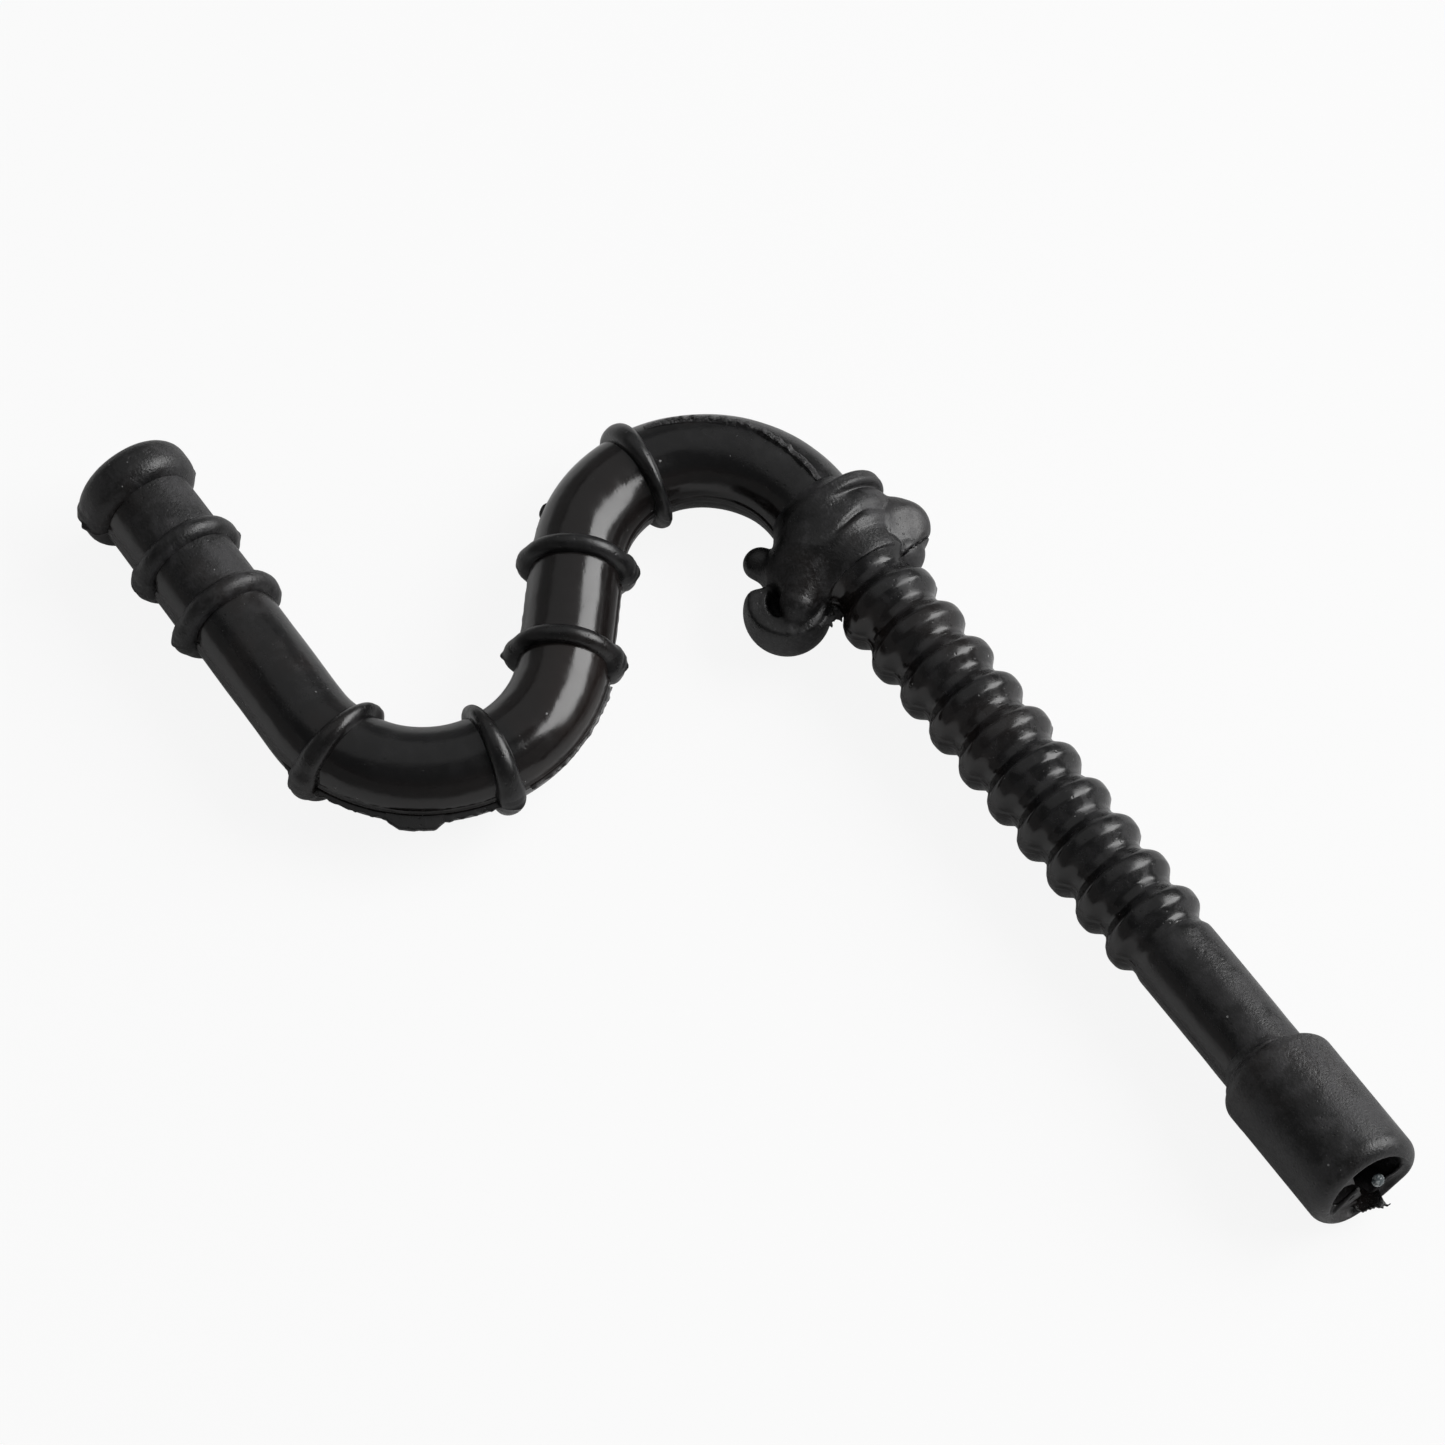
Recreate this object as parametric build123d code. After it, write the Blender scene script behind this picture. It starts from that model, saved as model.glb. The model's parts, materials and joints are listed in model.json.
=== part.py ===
from build123d import *
import os
from math import radians, sin

# Moulded rubber fuel hose with a tank grommet, a bellows and a pickup cuff.
# Units are millimetres. The origin is on the hose axis, in the middle of the
# grommet's tank-wall groove. +X runs along the tank leg to the pickup cuff,
# both bends lie flat in the XY plane, and +Z is up.
#
# A place on the hose is named by its station: the distance along the hose axis
# from the mouth. A feature is drawn on the plane of its station, whose local X
# points across the hose to the left, local Y up and local Z along the hose.

# ---- driving dimensions ----

# Route of the hose axis
mouth_leg_length = 34.9
lower_bend_radius = 14.0
crossover_length = 13.2
arch_radius = 12.8
lower_bend_angle = 140.3
arch_angle = 139.5              # a little less, so the two legs are nearly parallel
arch_to_groove = 4.5            # straight run from the arch to the middle of the groove

# Section of the hose
bore_radius = 2.5
neck_radius = 4.85
mouth_leg_radius = 4.6
bend_tube_radius = 4.75
tail_radius = 4.4

# Mouth collar and neck
collar_radius = 6.3
collar_length = 4.7
collar_round = 1.8
neck_length = 15.1

# Raised ribs
rib_radius = 5.85
rib_round = 0.9
neck_rib_width = 2.4
bend_rib_width = 2.0
neck_rib_station = 12.0
lower_bend_first_rib = 4.9      # from the start of the lower bend
lower_bend_second_rib = 20.9    # from the same place
crossover_rib_insets = (0.9, 1.5)   # from the crossover's start and from its end
arch_rib_distance = 11.7        # from the start of the arch

# Tank grommet. Each ear's centre is given across the hose, then up.
groove_width = 1.8
groove_radius = 5.6
sleeve_radius = 5.4             # the hose swells to this where it meets the outer flange
outer_flange_radius = 6.3
outer_flange_thickness = 2.1
flange_round = 0.7
outer_lobe_radius = 5.4
outer_lobe_centre = (2.2, 0.6)
outer_ear_radius = 2.6
outer_ear_centre = (-7.0, -0.3)
outer_ear_blend = 1.5
inner_flange_radius = 6.3
inner_flange_thickness = 2.6
small_cup_radius = 3.9
small_cup_centre = (4.9, 0.6)
small_cup_length = 4.6
large_cup_radius = 4.7
large_cup_centre = (-6.7, -1.5)
large_cup_length = 6.4
cup_wall = 1.5
cup_floor = 1.7
cup_lip_round = 0.5
cup_clearance = 0.3             # between the two cups and the fixed ring

# Bellows
ring_count = 10                 # rings that swing; one more is fixed to the grommet
ring_pitch = 4.99
ring_radius = 5.2
ring_valley_radius = 4.2
fixed_ring_length = 3.86
fold_angle = 8.0                # each valley folds this far to either side
fold_clearance = 0.25           # left between two valley faces that are fully folded

# Tail tube and pickup cuff
tail_length = 16.04
cuff_radius = 6.0
cuff_length = 16.5
cuff_end_round = 1.8
cuff_shoulder_round = 1.2
socket_radius = 4.0
socket_depth = 14.5

# ---- stations along the hose ----

neck_end = collar_length + neck_length
lower_bend_start = mouth_leg_length
crossover_start = lower_bend_start + lower_bend_radius * radians(lower_bend_angle)
arch_start = crossover_start + crossover_length
arch_end = arch_start + arch_radius * radians(arch_angle)
groove_station = arch_end + arch_to_groove
groove_start = groove_station - groove_width / 2
groove_end = groove_station + groove_width / 2
outer_flange_start = groove_start - outer_flange_thickness
inner_flange_end = groove_end + inner_flange_thickness
fixed_ring_end = inner_flange_end + fixed_ring_length

# Two neighbouring rings are kept apart by the thin web of rubber that folds. It is
# left open, just wide enough for the valley faces to tip towards each other.
web_gap = 2 * ring_valley_radius * sin(radians(fold_angle / 2)) + fold_clearance
ring_width = ring_pitch - web_gap
ring_round = ring_radius - ring_valley_radius
first_valley = fixed_ring_end + web_gap / 2
tail_start = first_valley + ring_count * ring_pitch + web_gap / 2
cuff_start = tail_start + tail_length
hose_end = cuff_start + cuff_length


def draw_route():
    """The hose axis as one wire, with the groove's middle at the origin."""
    mouth_leg = PolarLine((0, 0), mouth_leg_length, arch_angle - lower_bend_angle)
    lower_bend = JernArc(mouth_leg @ 1, mouth_leg % 1, lower_bend_radius, lower_bend_angle)
    crossover = Line(lower_bend @ 1, lower_bend @ 1 + (lower_bend % 1) * crossover_length)
    arch = JernArc(crossover @ 1, crossover % 1, arch_radius, -arch_angle)
    tank_leg = Line(arch @ 1, arch @ 1 + (arch % 1) * (hose_end - arch_end))
    groove_middle = tank_leg @ 0 + (tank_leg % 0) * arch_to_groove
    runs = [mouth_leg, lower_bend, crossover, arch, tank_leg]
    return Wire([run.moved(Location(-groove_middle)).edge() for run in runs])


route = draw_route()


def station_plane(station):
    """The plane across the hose at a station."""
    centre = route.position_at(station, position_mode=PositionMode.LENGTH)
    along = route.tangent_at(station, position_mode=PositionMode.LENGTH)
    left = Vector(-along.Y, along.X, 0)
    return Plane(origin=centre, x_dir=left, z_dir=along)


# ---- basic shapes ----

def straight_run(start, end, outer, inner=0.0):
    """A straight tube between two stations, or a rod where there is no inner radius."""
    section = Circle(outer) - Circle(inner) if inner else Circle(outer)
    return extrude(station_plane(start) * section, end - start)


def bent_run(start, bend_radius, turn, outer, inner=0.0):
    """A tube bent by an angle in degrees: to the left, or to the right if it is negative."""
    plane = station_plane(start)
    section = Circle(outer) - Circle(inner) if inner else Circle(outer)
    side = 1 if turn > 0 else -1
    pivot = Axis(plane.origin + plane.x_dir * bend_radius * side, (0, 0, side))
    return revolve(plane * section, axis=pivot, revolution_arc=abs(turn))


def turned_ring(width, outer, inner, start_round, end_round):
    """A ring about local Z from 0 to its width, with its two outer edges rounded."""
    blank = Cylinder(outer, width, align=(Align.CENTER, Align.CENTER, Align.MIN))
    rims = blank.edges().filter_by(GeomType.CIRCLE).sort_by(Axis.Z)
    if start_round:
        blank = fillet(rims[0], start_round)
    if end_round:
        rims = blank.edges().filter_by(GeomType.CIRCLE).sort_by(Axis.Z)
        blank = fillet(rims[-1], end_round)
    bore = Cylinder(inner, width, align=(Align.CENTER, Align.CENTER, Align.MIN))
    return blank - bore


def at_station(station, shape):
    """Move a shape from its own axis to a station of the hose."""
    return station_plane(station).location * shape


# ---- mouth end, bends and ribs ----

def mouth_collar():
    ring = turned_ring(collar_length, collar_radius, bore_radius, collar_round, collar_round)
    return at_station(0, ring)


def hose_runs(inner):
    """The plain runs of tube between the collar and the grommet, by name."""
    return {
        "neck_tube": straight_run(collar_length, neck_end, neck_radius, inner),
        "mouth_leg_tube": straight_run(neck_end, lower_bend_start, mouth_leg_radius, inner),
        "lower_bend_tube": bent_run(lower_bend_start, lower_bend_radius, lower_bend_angle,
                                    bend_tube_radius, inner),
        "crossover_tube": straight_run(crossover_start, arch_start, bend_tube_radius, inner),
        "arch_tube": bent_run(arch_start, arch_radius, -arch_angle, bend_tube_radius, inner),
    }


def rib(station, width, rods):
    """A raised rib that sits on the skin of the solid rods it goes round."""
    disc = turned_ring(width, rib_radius, bore_radius, rib_round, rib_round)
    blank = at_station(station, Pos(Z=-width / 2) * disc)
    return blank - rods


def hose_ribs():
    """Every rib of the hose, by name."""
    rods = list(hose_runs(0.0).values())
    neck = [neck_rib_station, neck_end]
    bends = {
        "lower_bend_rib": [lower_bend_start + lower_bend_first_rib,
                           lower_bend_start + lower_bend_second_rib],
        "crossover_rib": [crossover_start + crossover_rib_insets[0],
                          arch_start - crossover_rib_insets[1]],
        "arch_rib": [arch_start + arch_rib_distance],
    }
    ribs = {f"neck_rib_{i}": rib(at, neck_rib_width, rods) for i, at in enumerate(neck, 1)}
    for name, stations in bends.items():
        for i, at in enumerate(stations, 1):
            ribs[f"{name}_{i}"] = rib(at, bend_rib_width, rods)
    return ribs


# ---- tank grommet ----

def grommet_barrel():
    """The bottom of the groove that the tank wall sits in."""
    return straight_run(groove_start, groove_end, groove_radius, bore_radius)


def grommet_outer_flange():
    """The flange outside the tank, with its ear and the sleeve that the hose swells into."""
    lobe = Pos(*outer_lobe_centre) * Circle(outer_lobe_radius)
    outline = make_hull(Circle(outer_flange_radius).edges() + lobe.edges())
    outline += Pos(*outer_ear_centre) * Circle(outer_ear_radius)
    disc = extrude(outline, outer_flange_thickness)
    notches = disc.edges().filter_by(Axis.Z).sort_by(Axis.X)[:2]
    disc = fillet(notches, outer_ear_blend)
    disc = fillet(disc.edges().filter_by(Plane.XY), flange_round)
    sleeve_length = outer_flange_start - arch_end
    sleeve = Cone(bend_tube_radius, sleeve_radius, sleeve_length,
                  align=(Align.CENTER, Align.CENTER, Align.MAX))
    bore = Cylinder(bore_radius, 2 * (sleeve_length + outer_flange_thickness))
    return at_station(outer_flange_start, disc + sleeve - bore)


def cup(radius, length, centre):
    """A cupped ear of the inner flange, open towards the tank."""
    body = Cylinder(radius, length, align=(Align.CENTER, Align.CENTER, Align.MIN))
    hollow = Cylinder(radius - cup_wall, length, align=(Align.CENTER, Align.CENTER, Align.MIN))
    body -= Pos(Z=cup_floor) * hollow
    lip = body.edges().filter_by(GeomType.CIRCLE).group_by(Axis.Z)[-1]
    return Pos(*centre) * fillet(lip, cup_lip_round)


def grommet_inner_flange():
    """The flange inside the tank, with its two cupped ears."""
    disc = turned_ring(inner_flange_thickness, inner_flange_radius, bore_radius,
                       0.0, flange_round)
    small = cup(small_cup_radius, small_cup_length, small_cup_centre)
    large = cup(large_cup_radius, large_cup_length, large_cup_centre)
    room = Cylinder(ring_radius + cup_clearance, large_cup_length,
                    align=(Align.CENTER, Align.CENTER, Align.MIN))
    bore = Cylinder(bore_radius, 2 * inner_flange_thickness)
    cups = small + large - Pos(Z=inner_flange_thickness) * room - bore
    return at_station(groove_end, disc + cups)


# ---- bellows, tail and cuff ----

def bellows():
    """The ring fixed to the grommet and the rings that swing, by name."""
    fixed = turned_ring(fixed_ring_length, ring_radius, bore_radius, 0.0, ring_round)
    rings = {"bellows_fixed_ring": at_station(inner_flange_end, fixed)}
    swinging = turned_ring(ring_width, ring_radius, bore_radius, ring_round, ring_round)
    for i in range(ring_count):
        start = first_valley + web_gap / 2 + i * ring_pitch
        rings[f"bellows_ring_{i + 1:02d}"] = at_station(start, swinging)
    return rings


def tail_tube():
    return straight_run(tail_start, cuff_start, tail_radius, bore_radius)


def pickup_cuff():
    """The cuff that grips the pickup body, with the socket in its open end."""
    sleeve = turned_ring(cuff_length, cuff_radius, bore_radius,
                         cuff_shoulder_round, cuff_end_round)
    socket = Cylinder(socket_radius, socket_depth, align=(Align.CENTER, Align.CENTER, Align.MAX))
    return at_station(cuff_start, sleeve - Pos(Z=cuff_length) * socket)


def build_parts():
    """Every node of the hose, by name, from the mouth to the cuff."""
    parts = {"mouth_collar": mouth_collar()}
    parts.update(hose_runs(bore_radius))
    parts.update(hose_ribs())
    parts["grommet_outer_flange"] = grommet_outer_flange()
    parts["grommet_barrel"] = grommet_barrel()
    parts["grommet_inner_flange"] = grommet_inner_flange()
    parts.update(bellows())
    parts["tail_tube"] = tail_tube()
    parts["pickup_cuff"] = pickup_cuff()
    return parts


os.makedirs("parts", exist_ok=True)
for name, shape in build_parts().items():
    export_step(shape, f"parts/{name}.step")
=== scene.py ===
import json
from itertools import product
from math import cos, pi, radians, sin, tan

import bpy
import numpy as np
from bpy.props import FloatProperty, FloatVectorProperty, PointerProperty
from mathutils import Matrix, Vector, noise


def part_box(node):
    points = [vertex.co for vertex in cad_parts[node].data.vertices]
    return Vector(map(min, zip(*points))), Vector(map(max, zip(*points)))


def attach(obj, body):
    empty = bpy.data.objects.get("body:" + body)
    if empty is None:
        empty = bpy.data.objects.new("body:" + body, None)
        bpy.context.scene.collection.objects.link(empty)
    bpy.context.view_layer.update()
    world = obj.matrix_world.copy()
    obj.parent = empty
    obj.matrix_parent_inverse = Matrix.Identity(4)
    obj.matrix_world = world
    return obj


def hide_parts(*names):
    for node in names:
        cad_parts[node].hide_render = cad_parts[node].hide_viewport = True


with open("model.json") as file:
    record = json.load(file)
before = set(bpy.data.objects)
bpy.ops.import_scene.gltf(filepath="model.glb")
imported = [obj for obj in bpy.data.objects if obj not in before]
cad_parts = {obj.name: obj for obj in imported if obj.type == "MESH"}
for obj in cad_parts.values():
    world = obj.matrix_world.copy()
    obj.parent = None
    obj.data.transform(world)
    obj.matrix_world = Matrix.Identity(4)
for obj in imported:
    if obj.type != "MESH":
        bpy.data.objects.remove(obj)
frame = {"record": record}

# Rubber skins for a moulded fuel hose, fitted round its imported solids. Lengths in
# this file are millimetres unless a name or a property says otherwise. A place on
# the hose is named by its station, the distance along the axis from the mouth, and
# by its side, the angle round the axis. Side 0 is the hose's left, a quarter turn
# is its top, and the parting line of the mould runs along side 0 and half a turn.

bl_info = {
    "name": "Moulded Hose Looks",
    "version": (1, 0, 0),
    "blender": (4, 5, 0),
    "location": "3D View > Sidebar > Hose",
    "description": "Builds the rubber skins of a moulded fuel hose round its solids",
    "category": "Object",
}

MM = 0.001
HOSE_BODY = "hose_body"
TAIL_BODY = "tail"
RINGS = [f"ring_{number:02d}" for number in range(1, 11)]


# ---- properties ----

def length_property(name, description, millimetres):
    return FloatProperty(name=name, description=description, default=millimetres * MM,
                         subtype="DISTANCE", unit="LENGTH")


def angle_property(name, description, degrees):
    return FloatProperty(name=name, description=description, default=radians(degrees),
                         subtype="ANGLE")


def colour_property(name, description, colour):
    return FloatVectorProperty(name=name, description=description, default=colour,
                               subtype="COLOR", size=3)


class HoseShape(bpy.types.PropertyGroup):
    """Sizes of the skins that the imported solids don't give."""
    mouth_leg: length_property(
        "Mouth Leg", "Straight run from the mouth to the lower bend", 34.9)
    lower_radius: length_property(
        "Lower Bend Radius", "Radius of the lower bend's axis", 14.0)
    lower_angle: angle_property(
        "Lower Bend Angle", "How far the lower bend turns", 140.3)
    crossover: length_property(
        "Crossover", "Straight run between the two bends", 13.2)
    arch_radius: length_property("Arch Radius", "Radius of the arch's axis", 12.8)
    arch_angle: angle_property("Arch Angle", "How far the arch turns back", 139.5)
    waviness: length_property(
        "Waviness", "How far the skin strays from true round", 0.07)
    flash_height: length_property(
        "Flash Height", "Height of the ragged rubber left at the parting line", 0.35)
    groove_depth: length_property(
        "Groove Depth", "Depth of the grooves between bellows rings", 1.15)


class RubberFinish(bpy.types.PropertyGroup):
    """Colours of the rubber and of the bloom on it."""
    rubber: colour_property(
        "Rubber", "Colour of the clean rubber", (0.0062, 0.0062, 0.0065))
    # The pale bloom's colour, which also paints light and shade where a piece raises or lowers
    # its bloom.
    bloom_and_painted_light: colour_property(
        "Bloom", "Colour of the pale bloom that comes out of the rubber",
        (0.034, 0.033, 0.035))
    brown: colour_property(
        "Brown Cast", "Colour of the warmer patches", (0.0150, 0.0108, 0.0095))
    # Pale specks, partly dust and partly painted highlight on small pimples.
    dust_and_glint: colour_property("Dust", "Colour of the specks of dust", (0.30, 0.30, 0.30))


class StudioSetup(bpy.types.PropertyGroup):
    """Camera and room light."""
    azimuth: angle_property("Camera Azimuth", "Turn of the camera from the front", 55.4)
    elevation: angle_property("Camera Elevation", "Height angle of the camera", 59.2)
    distance: length_property(
        "Camera Distance", "From the middle of the view to the camera", 792.6)
    lens: FloatProperty(
        name="Lens", description="Focal length in millimetres", default=197.5)
    world_level: FloatProperty(
        name="Room Light", description="Strength of the light that comes from everywhere",
        default=0.10)


# ---- the hose axis ----

def corners(node):
    """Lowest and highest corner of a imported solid."""
    low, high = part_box(node)
    return np.array(low) / MM, np.array(high) / MM


def middle(node):
    low, high = corners(node)
    return (low + high) / 2


def radius_of(node):
    """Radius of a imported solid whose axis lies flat."""
    return corners(node)[1][2]


class Route:
    """The hose axis, flat in the XY plane, from the mouth to beyond the cuff."""

    def __init__(self, shape):
        arch_end = corners("grommet_outer_flange")[0][0]
        runs = [
            (shape.mouth_leg / MM, 0.0),
            (shape.lower_radius / MM * shape.lower_angle, MM / shape.lower_radius),
            (shape.crossover / MM, 0.0),
            (shape.arch_radius / MM * shape.arch_angle, -MM / shape.arch_radius),
            (0.0, 0.0),
        ]
        heading = shape.arch_angle - shape.lower_angle
        self.runs = self.follow(np.zeros(2), heading, runs)
        shift = np.array([arch_end, 0.0]) - self.runs[-1][1]
        self.runs = self.follow(shift, heading, runs)
        self.lower_bend_start, self.crossover_start, self.arch_start, self.arch_end = (
            run[0] for run in self.runs[1:])
        self.origin = self.arch_end - arch_end
        low, high = corners("mouth_collar")
        if abs(self.point(0, 0, 0)[1] - (low[1] + high[1]) / 2) > 0.2:
            raise RuntimeError("the hose axis doesn't start at the packed mouth collar")

    def follow(self, start, heading, runs):
        """Where each run begins: its station, start point, heading and curvature."""
        station, found = 0.0, []
        for length, curve in runs:
            found.append((station, start, heading, curve))
            start = self.along(start, heading, curve, length)
            station += length
            heading += curve * length
        return found

    @staticmethod
    def along(start, heading, curve, length):
        """The place that far along a run."""
        if curve:
            turned = heading + curve * length
            step = [np.sin(turned) - sin(heading), cos(heading) - np.cos(turned)]
            return start + np.stack(step, -1) / curve
        return start + np.stack([cos(heading) * length, sin(heading) * length], -1)

    def point(self, station, across, up):
        """The point at a station, that far to the left of the axis and that far up."""
        station, across, up = np.broadcast_arrays(
            np.asarray(station, float), np.asarray(across, float), np.asarray(up, float))
        place, turn = np.zeros(station.shape + (2,)), np.zeros(station.shape)
        for number, (begins, start, heading, curve) in enumerate(self.runs):
            here = station >= begins if number else np.ones(station.shape, bool)
            length = station[here] - begins
            place[here] = self.along(start, heading, curve, length)
            turn[here] = heading + curve * length
        return np.stack([place[..., 0] - np.sin(turn) * across,
                         place[..., 1] + np.cos(turn) * across, up], -1)

    def polar(self, station, side, radius):
        """The point at a station and a side, at that radius from the axis."""
        return self.point(station, np.cos(side) * radius, np.sin(side) * radius)

    def station_of(self, node):
        """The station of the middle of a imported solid."""
        tries = np.arange(-5.0, 230.0, 0.02)
        gaps = self.point(tries, 0, 0)[:, :2] - middle(node)[:2]
        return tries[np.argmin((gaps ** 2).sum(-1))]

    def on_leg(self, x):
        """The station of a place on the tank leg."""
        return self.origin + x


# ---- shape helpers ----

def between(value, keys):
    """The keys' places and values, then for each value the number of the key after it,
    the gap before that key and the share of the gap that it covers."""
    places, heights = np.array(keys, float).T
    value = np.clip(value, places[0], places[-1])
    after = np.clip(np.searchsorted(places, value, side="right"), 1, len(places) - 1)
    gap = places[after] - places[after - 1]
    return places, heights, after, gap, (value - places[after - 1]) / gap


def eased(value, keys):
    """A value that eases from key to key. The keys are (place, value) pairs."""
    places, heights, after, gap, share = between(value, keys)
    share = share * share * (3 - 2 * share)
    return heights[after - 1] + (heights[after] - heights[after - 1]) * share


def curve(value, keys):
    """A value on a smooth line through the keys, which are (place, value) pairs."""
    places, heights, after, gap, t = between(value, keys)
    steep = np.gradient(heights, places)
    steep[0] = steep[-1] = 0.0
    return (heights[after - 1] * (1 + 2 * t) * (1 - t) ** 2
            + heights[after] * t * t * (3 - 2 * t)
            + gap * t * (1 - t) * (steep[after - 1] * (1 - t) - steep[after] * t))


def grain(points, size, seed=0.0):
    """Smooth noise from -1 to 1 whose bumps are about as far apart as size."""
    flat = np.asarray(points, float).reshape(-1, 3) / size + seed
    values = np.array([noise.noise(Vector(row)) for row in flat])
    return values.reshape(np.asarray(points).shape[:-1])


def round_sides():
    """Angles round the hose, closer together at the two parting lines."""
    quarter = np.radians([0, 0.7, 1.6, 2.8, 4.5, 6, 8, 10, 14, 18, 23, 28, 33, 38, 43, 48,
                          53, 58, 63, 68, 73, 78, 83, 88])
    half = np.concatenate([quarter, pi - quarter[::-1][:-1]])
    return np.concatenate([half, [pi], 2 * pi - half[::-1][:-1]])


SIDES = round_sides()

# How polished the skin of the tubes is along the hose: (station, share).
POLISH = [(0, 0.1), (18, 0.2), (22, 0.55), (34, 0.6), (40, 0.75), (56, 0.8), (60, 1.0),
          (92, 1.0), (96, 0.7), (112, 0.5), (118, 0.3), (126, 0.6), (176, 0.6), (190, 0.5),
          (194, 0.3)]

# How far it is polished beyond that between its top and its right: (degrees, share).
# # The polish also thins the bloom there, so this side, away from the lamp, comes out
# # darker: painted shade.
SHINY_SHADED_SIDE = [(118, 0), (138, 1), (178, 1), (190, 0)]

# The skin of the bellows lies a little outside its solids and a little to their right.
BELLOWS_LIFT, BELLOWS_SHIFT = 0.06, 0.12


def away_from(side, line):
    """Angle between a side and a line along the hose, from 0 to half a turn."""
    return np.abs((side - line + pi) % (2 * pi) - pi)


def new_mesh(name, points, faces, normals=None, polish=0.3, bloom_and_painted_light=0.0):
    """A smooth-shaded mesh piece. Points are in millimetres, one row each. Polish is
    how smooth the mould was there, from 0, matte, to 1, and the last argument is an extra
    share of bloom, which some pieces raise or lower as painted light and painted shade."""
    points = np.asarray(points, float).reshape(-1, 3)
    mesh = bpy.data.meshes.new(name)
    mesh.from_pydata((points * MM).tolist(), [], faces)
    mesh.update()
    rest = mesh.attributes.new("rest_place", "FLOAT_VECTOR", "POINT")
    rest.data.foreach_set("vector", points.astype(np.float32).ravel())
    for title, share in (("polish", polish), ("extra_bloom", bloom_and_painted_light)):
        layer = mesh.attributes.new(title, "FLOAT", "POINT")
        layer.data.foreach_set("value", np.broadcast_to(share, len(points)).astype(np.float32))
    mesh.shade_smooth()
    mesh.set_sharp_from_angle(angle=radians(50))
    if normals is not None:
        mesh.normals_split_custom_set_from_vertices(normals.reshape(-1, 3).tolist())
    piece = bpy.data.objects.new(name, mesh)
    bpy.context.scene.collection.objects.link(piece)
    return piece


def grid_faces(rows, columns, closed_rows=True):
    """Quads of a grid that closes round its columns and, unless told not to, its rows."""
    faces = []
    for row in range(rows if closed_rows else rows - 1):
        after = (row + 1) % rows
        for column in range(columns):
            beside = (column + 1) % columns
            faces.append((row * columns + column, row * columns + beside,
                          after * columns + beside, after * columns + column))
    return faces


def capped_faces(rows, columns, far_cap=True):
    """Quads of a grid that closes round its columns, with a face over its first row and,
    unless told not to, one over its last row."""
    faces = grid_faces(rows, columns, closed_rows=False)
    faces.append(tuple(range(columns))[::-1])
    if far_cap:
        faces.append(tuple((rows - 1) * columns + k for k in range(columns)))
    return faces


def facing(points):
    """Outward normals of the inner rows of a grid whose rows run along the hose."""
    along = points[2:] - points[:-2]
    middle_rows = points[1:-1]
    around = np.roll(middle_rows, -1, 1) - np.roll(middle_rows, 1, 1)
    normals = np.cross(around, along)
    return normals / np.linalg.norm(normals, axis=-1, keepdims=True)


def tube_skin(name, route, stations, radius_at, bore, lap=0.0):
    """A tube between two stations: its outer skin, its bore and its two cut ends. The
    bore of a lap at its end is a little wider, to stay inside the next tube's wall."""
    beyond, lap_clearance = 0.1, 0.15
    reach = np.concatenate([[stations[0] - beyond], stations, [stations[-1] + beyond]])
    place, side = np.meshgrid(reach, SIDES, indexing="ij")
    outer = route.polar(place, side, radius_at(place, side))
    normals = facing(outer)
    outer = outer[1:-1]
    back = stations[::-2] if len(stations) % 2 else np.append(stations[::-2], stations[0])
    inner_place, inner_side = np.meshgrid(back, SIDES, indexing="ij")
    in_lap = inner_place > stations[-1] - lap - 0.01
    inner = route.polar(inner_place, inner_side,
                        bore + lap_clearance * (in_lap if lap else 0))
    rows = np.concatenate([outer, inner])
    automatic = np.zeros(inner.shape)
    polish = eased(np.concatenate([stations, back]), POLISH)[:, None]
    polish = (polish + (1 - polish) * eased(np.degrees(SIDES), SHINY_SHADED_SIDE)).ravel()
    return new_mesh(name, rows, grid_faces(len(rows), len(SIDES)),
                    np.concatenate([normals, automatic]), polish)


def turned_skin(name, route, profile, ruffle):
    """A closed ring turned about the axis, its radius raised by the ruffle. The profile
    is (station, radius) pairs."""
    place, radius = (column[:, None] + 0 * SIDES for column in np.array(profile, float).T)
    side = SIDES + 0 * place
    points = route.polar(place, side, radius + ruffle(place, side, radius))
    return new_mesh(name, points, grid_faces(len(profile), len(SIDES)))


def torn_strip(name, route, path, width, seed=0.0, ragged=0.8, bloom_and_painted_light=0.0, step=0.18):
    """Rubber left standing along a line on the hose, its edge torn. The path is keys of
    (station, side in degrees, radius of the skin, height)."""
    keys = np.array(path, float)
    length = np.abs(np.diff(keys[:, 0])).sum() + np.radians(
        np.abs(np.diff(keys[:, 1]))).sum() * keys[0, 2]
    turn = np.linspace(0, len(keys) - 1, max(4, int(length / step)))
    place, side, radius, height = (
        np.interp(turn, range(len(keys)), keys[:, k]) for k in range(4))
    side = np.radians(side)
    spots = route.polar(place, side, radius)
    height = height * np.clip(1 + ragged * grain(spots, 0.6, seed), 0.15, 1.5)
    lean = grain(spots, 0.9, seed + 5.0) * 0.25 * ragged
    half = width / 2 / radius
    # Its section: how far across, in half widths, and how far up, in heights. What is
    # below the skin is in millimetres.
    across = np.array([-1.0, -0.55, -0.45, -0.25, 0.25, 0.45, 0.55, 1.0])
    up = np.array([-0.35, 0.15, 0.85, 1.0, 1.0, 0.85, 0.15, -0.35])
    rise = np.where(up > 0, up * height[:, None], up)
    sway = (up > 0.5) * lean[:, None] * height[:, None] / radius[:, None]
    sections = route.polar(place[:, None] + 0 * rise, side[:, None] + across * half[:, None]
                           + sway, radius[:, None] + rise)
    faces = capped_faces(len(spots), len(across))
    return new_mesh(name, sections, faces, polish=0.5, bloom_and_painted_light=bloom_and_painted_light)


def arc(centre, radius, first, last, count=9):
    """Points of a round corner in a profile: (station, radius) pairs, angles in degrees."""
    turn = np.radians(np.linspace(first, last, count))
    return [(centre[0] + radius * cos(t), centre[1] + radius * sin(t)) for t in turn]


# ---- surfaces from a field of distances ----

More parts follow.
